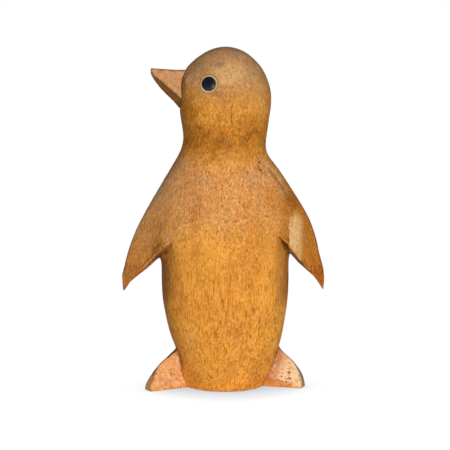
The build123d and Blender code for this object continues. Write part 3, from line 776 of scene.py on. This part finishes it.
class FigurineWood(PropertyGroup):
    """Colours of the stained and the bare wood."""

    stain: colour_setting("Stain", "Main colour of the stained block", (0.90, 0.60, 0.225))
    honey: colour_setting("Honey", "Brighter clouds of the stain", (0.96, 0.655, 0.255))
    rose: colour_setting("Rose", "Pinker stain on the breast", (0.895, 0.615, 0.355))
    amber: colour_setting("Amber", "Redder drifts along the grain", (0.84, 0.51, 0.19))
    umber: colour_setting("Umber", "Greyish brown stain on the right wing", (0.82, 0.55, 0.28))
    russet: colour_setting("Russet", "Warm brown stain on the left wing", (0.74, 0.455, 0.15))
    chestnut: colour_setting("Chestnut", "Darker stain towards the wing tips", (0.585, 0.30, 0.02))
    ochre: colour_setting("Ochre", "Dark band at the throat", (0.66, 0.405, 0.09))
    # Also darkens the hollows, and is painted shade on the flanks below the wings and on the wings' other
    # edges
    brown: colour_setting("Brown", "Stain gathered in hollows", (0.42, 0.24, 0.07))
    # Also a painted highlight along the wings' lower edges
    hem: colour_setting("Hem", "Bright stain at the bottom edge", (0.93, 0.58, 0.22))
    # Also the painted highlight on the left wing
    pale: colour_setting("Pale", "Places where the stain is worn off", (0.91, 0.715, 0.46))
    # Also a painted highlight beside the right armpit
    blush: colour_setting("Blush", "Pinkish places", (0.92, 0.66, 0.445))
    sand: colour_setting("Sand", "Duller stain on the head", (0.74, 0.51, 0.245))
    # Greyish patches on the breast and the left shoulder, and painted sheen on the crown and the right
    # shoulder
    dust_and_sheen: colour_setting("Dust", "Greyish wear on the crown and shoulder", (0.78, 0.615, 0.46))
    smudge: colour_setting("Smudge", "Grey smudges on the head", (0.45, 0.38, 0.33))
    grain: colour_setting("Grain", "Fine redder mottling of the stain", (0.70, 0.40, 0.13))
    streak: colour_setting("Streak", "Darker streaks on the belly", (0.70, 0.42, 0.10))
    gleam: colour_setting("Gleam", "Fine paler mottling of the stain", (0.99, 0.76, 0.44))
    rim: colour_setting("Rim", "Bare rim around an eye", (0.99, 0.84, 0.64))
    fleck: colour_setting("Fleck", "Small vessels of the wood", (0.58, 0.305, 0.10))
    # Also painted shade in the armpit notches and on the rims of the beak's underside
    vessel_and_shade: colour_setting("Vessel", "Dark vessels of the wood", (0.34, 0.17, 0.05))
    # Painted shadow under the wings, along their lower edges
    pitch: colour_setting("Pitch", "Darkest stain, under the wings", (0.17, 0.075, 0.015))
    wood: colour_setting("Bare wood", "Main colour of the beak and feet", (0.94, 0.65, 0.37))
    cream: colour_setting("Cream", "Paler blotches of the bare wood", (1.0, 0.845, 0.655))
    vein: colour_setting("Vein", "Reddish veins of the bare wood", (0.74, 0.44, 0.22))
    # Dark stain at the joints of the feet, and painted shade on the feet's ridges and on the rims of the beak
    # and feet
    dark_stain_and_shade: colour_setting("Scorch", "Dark ridges of the feet", (0.33, 0.19, 0.09))
    bill: colour_setting("Bill", "Duller wood of the beak", (0.79, 0.58, 0.39))
    # Stain with painted shade on the beak's underside
    keel: colour_setting("Keel", "Stained underside of the beak", (0.43, 0.25, 0.07))


class FigurineEyes(PropertyGroup):
    """Colours of the bead eyes."""

    bead: colour_setting("Bead", "Main colour of a bead", (0.035, 0.06, 0.09))
    bead_sheen: colour_setting("Bead sheen", "Lighter clouds of a bead", (0.08, 0.12, 0.16))


class FigurineCarving(PropertyGroup):
    """Sizes of the carving."""

    body_face: length_setting("Block face", "Size of a face on the block", 0.5 * MM)
    small_face: length_setting("Small face", "Size of a face on the beak and feet", 0.4 * MM)
    undulation_size: length_setting("Undulation size", "Distance between swells", 32 * MM)
    undulation_depth: length_setting("Undulation depth", "Depth of the swells", 0.5 * MM)
    mark_size: length_setting("Tool mark size", "Width of a tool mark", 9 * MM)
    mark_depth: length_setting("Tool mark depth", "Depth of a tool mark", 0.12 * MM)
    fairing_half_width: length_setting("Fairing half width", "Half width of the evened-out chest", 28 * MM)
    fairing_bottom: length_setting("Fairing bottom", "Where the evened-out chest begins", 55 * MM)
    fairing_top: length_setting("Fairing top", "Where the evened-out chest ends", 150 * MM)
    flank_fairing: FloatProperty(
        name="Flank fairing", description="How much the flanks are evened out", min=0, max=1, default=0.35
    )
    fairing_steps: IntProperty(
        name="Fairing steps", description="How often the chest is evened out", min=0, default=120
    )
    easing_steps: IntProperty(name="Easing steps", description="How often edges are eased", min=0, default=2)
    marking_steps: IntProperty(
        name="Marking steps", description="How far hollows and rims are felt for", min=0, default=10
    )
    seed: IntProperty(name="Seed", description="Which of many carvings this is", min=0, default=4)


class FigurineStage(PropertyGroup):
    """The camera and light of the stage."""

    distance: length_setting("Camera distance", "From the figure's axis", 1.5)
    rise: length_setting("Camera height", "Above the floor", 0.35)
    aim: length_setting("Aim height", "Height that the camera looks at", 0.0957)
    lens: FloatProperty(name="Lens", description="Focal length", unit="CAMERA", default=208.5)
    key: FloatProperty(name="Key light", description="Main soft light", unit="POWER", default=19.2)
    sheen: FloatProperty(name="Sheen light", description="Soft light from above", unit="POWER", default=0.5)
    back: FloatProperty(name="Back light", description="Soft light from behind", unit="POWER", default=3.0)
    sky: FloatProperty(name="Sky", description="Even light from all around", min=0, default=0.15)


class FIGURINE_OT_body(Operator):
    """Carve and stain the block that is torso, head and wings"""

    bl_idname = "figurine.body"
    bl_label = "Stained block"

    def execute(self, context):
        carving = context.scene.figurine_carving
        values = {
            "Fairing Steps": carving.fairing_steps,
            "Fairing Half Width": carving.fairing_half_width,
            "Fairing Bottom": carving.fairing_bottom,
            "Fairing Top": carving.fairing_top,
            "Flank Fairing": carving.flank_fairing,
            "Easing Steps": carving.easing_steps,
            "Undulation Size": carving.undulation_size,
            "Undulation Depth": carving.undulation_depth,
            "Tool Mark Size": carving.mark_size,
            "Tool Mark Depth": carving.mark_depth,
            "Marking Steps": carving.marking_steps,
            "Seed": carving.seed,
        }
        wood = stained_wood(context.scene.figurine_wood)
        piece = carved_piece("body", carving.body_face, BLOCK_FACE_SHARE, wood, values, BLOCK_FLATS)
        return {"FINISHED"}


class FIGURINE_OT_bare_pieces(Operator):
    """Carve the beak and the feet from bare wood"""

    bl_idname = "figurine.bare_pieces"
    bl_label = "Beak and feet"

    def execute(self, context):
        carving = context.scene.figurine_carving
        wood = bare_wood(context.scene.figurine_wood)
        values = {
            "Fairing Steps": 0,
            "Easing Steps": carving.easing_steps,
            "Undulation Size": carving.undulation_size * SMALL_UNDULATION_SHARE,
            "Undulation Depth": carving.undulation_depth * SMALL_UNDULATION_SHARE,
            "Tool Mark Size": carving.mark_size * SMALL_MARK_SHARE,
            "Tool Mark Depth": carving.mark_depth,
            "Marking Steps": carving.marking_steps,
            "Seed": carving.seed,
        }
        for name, flats in (("beak", BEAK_FLATS), ("left_foot", ()), ("right_foot", ())):
            piece = carved_piece(name, carving.small_face, SMALL_FACE_SHARE, wood, values, flats)
        return {"FINISHED"}


class FIGURINE_OT_eyes(Operator):
    """Dress the bead eyes"""

    bl_idname = "figurine.eyes"
    bl_label = "Bead eyes"

    def execute(self, context):
        bead = eye_bead(context.scene.figurine_eyes)
        for name in ("left_eye", "right_eye"):
            dress(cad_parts[name], bead)
        return {"FINISHED"}


class FIGURINE_OT_dowels(Operator):
    """Dress the dowels inside the joints"""

    bl_idname = "figurine.dowels"
    bl_label = "Dowels"

    def execute(self, context):
        wood = dowel_wood(context.scene.figurine_wood)
        for name in ("beak_dowel", "left_foot_dowel", "right_foot_dowel"):
            dress(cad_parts[name], wood)
        return {"FINISHED"}


def dress(node, material):
    """Gives every material slot of a node a material."""
    if not node.material_slots:
        raise RuntimeError(f"{node.name} has no material slot")
    for slot in node.material_slots:
        slot.material = material


def soft_lamp(name, place, power):
    """A square soft lamp that looks from a place at the middle of the figure."""
    lamp = bpy.data.lights.new(name, "AREA")
    lamp.size = LAMP_SIZE
    lamp.energy = power
    holder = bpy.data.objects.new(name, lamp)
    holder.location = place
    holder.rotation_euler = (Vector(LAMP_TARGET) - Vector(place)).to_track_quat("-Z", "Y").to_euler()
    bpy.context.scene.collection.objects.link(holder)


def white_floor():
    """A wide white floor, which looks white to the camera and keeps the figure's shadow."""
    form = bmesh.new()
    bmesh.ops.create_circle(form, cap_ends=True, segments=FLOOR_SIDES, radius=FLOOR_RADIUS)
    mesh = bpy.data.meshes.new("floor")
    form.to_mesh(mesh)
    form.free()
    floor = bpy.data.objects.new("floor", mesh)
    bpy.context.scene.collection.objects.link(floor)
    material, wiring, _ = new_material("white_floor")
    path = wiring.node("ShaderNodeLightPath")
    seen = path.output("Is Camera Ray") + path.output("Is Glossy Ray") + path.output("Is Transmission Ray")
    lit = wiring.node("ShaderNodeBsdfDiffuse", None, {"Color": FLOOR_LIT_COLOUR})
    settings = {"samples": SHADOW_SAMPLES}
    open_share = wiring.node("ShaderNodeAmbientOcclusion", settings, {"Distance": SHADOW_REACH}, "AO")
    tone = wiring.mix(open_share, SHADOW_COLOUR, FLOOR_COLOUR)
    glow = wiring.node("ShaderNodeEmission", None, {"Color": tone, "Strength": 1.0})
    tint = wiring.node("ShaderNodeBsdfDiffuse", None, {"Color": FLOOR_TINT})
    shown = wiring.node("ShaderNodeAddShader", None, {0: tint, 1: glow})
    sockets = {0: wiring.math("MINIMUM", seen, 1.0), 1: lit, 2: shown}
    surface = wiring.node("ShaderNodeMixShader", None, sockets)
    wiring.node("ShaderNodeOutputMaterial", None, {"Surface": surface})
    mesh.materials.append(material)


class FIGURINE_OT_stage(Operator):
    """Set up the floor, light and camera"""

    bl_idname = "figurine.stage"
    bl_label = "Stage"

    def execute(self, context):
        stage = context.scene.figurine_stage
        scene = context.scene
        white_floor()
        soft_lamp("key_lamp", KEY_PLACE, stage.key)
        soft_lamp("sheen_lamp", SHEEN_PLACE, stage.sheen)
        soft_lamp("back_lamp", BACK_PLACE, stage.back)

        world = bpy.data.worlds.new("sky")
        world.use_nodes = True
        world.node_tree.nodes.clear()
        wiring = Wiring(world.node_tree)
        path = wiring.node("ShaderNodeLightPath")
        strength = stage.sky + (1 - stage.sky) * path.output("Is Camera Ray")
        sky = wiring.node("ShaderNodeBackground", None, {"Color": WHITE, "Strength": strength})
        wiring.node("ShaderNodeOutputWorld", None, {"Surface": sky})
        scene.world = world
        scene.view_settings.view_transform = "Standard"

        view = bpy.data.cameras.new("camera")
        view.lens = stage.lens
        view.clip_end = VIEW_END
        camera = bpy.data.objects.new("camera", view)
        camera.location = (0, -stage.distance, stage.rise)
        look = Vector((0, 0, stage.aim)) - camera.location
        camera.rotation_euler = look.to_track_quat("-Z", "Y").to_euler()
        scene.collection.objects.link(camera)
        scene.camera = camera
        return {"FINISHED"}


STEPS = (
    FIGURINE_OT_stage,
    FIGURINE_OT_body,
    FIGURINE_OT_bare_pieces,
    FIGURINE_OT_eyes,
    FIGURINE_OT_dowels,
)


class FIGURINE_PT_panel(Panel):
    """The steps of the figurine in the sidebar"""

    bl_idname = "FIGURINE_PT_panel"
    bl_label = "Figurine"
    bl_space_type = "VIEW_3D"
    bl_region_type = "UI"
    bl_category = "Figurine"

    def draw(self, context):
        for step in STEPS:
            self.layout.operator(step.bl_idname)
        for group in GROUPS:
            settings = getattr(context.scene, group)
            for name in settings.bl_rna.properties.keys():
                if name not in ("rna_type", "name"):
                    self.layout.prop(settings, name)


GROUPS = {
    "figurine_wood": FigurineWood,
    "figurine_eyes": FigurineEyes,
    "figurine_carving": FigurineCarving,
    "figurine_stage": FigurineStage,
}


def register():
    for settings in GROUPS.values():
        bpy.utils.register_class(settings)
    for step in STEPS:
        bpy.utils.register_class(step)
    bpy.utils.register_class(FIGURINE_PT_panel)
    for name, settings in GROUPS.items():
        setattr(bpy.types.Scene, name, PointerProperty(type=settings))


def unregister():
    for name in GROUPS:
        delattr(bpy.types.Scene, name)
    for kind in (FIGURINE_PT_panel, *STEPS, *GROUPS.values()):
        bpy.utils.unregister_class(kind)


def main():
    register()
    bpy.ops.figurine.stage()
    bpy.ops.figurine.body()
    bpy.ops.figurine.bare_pieces()
    bpy.ops.figurine.eyes()
    bpy.ops.figurine.dowels()


if __name__ == "__main__":
    main()
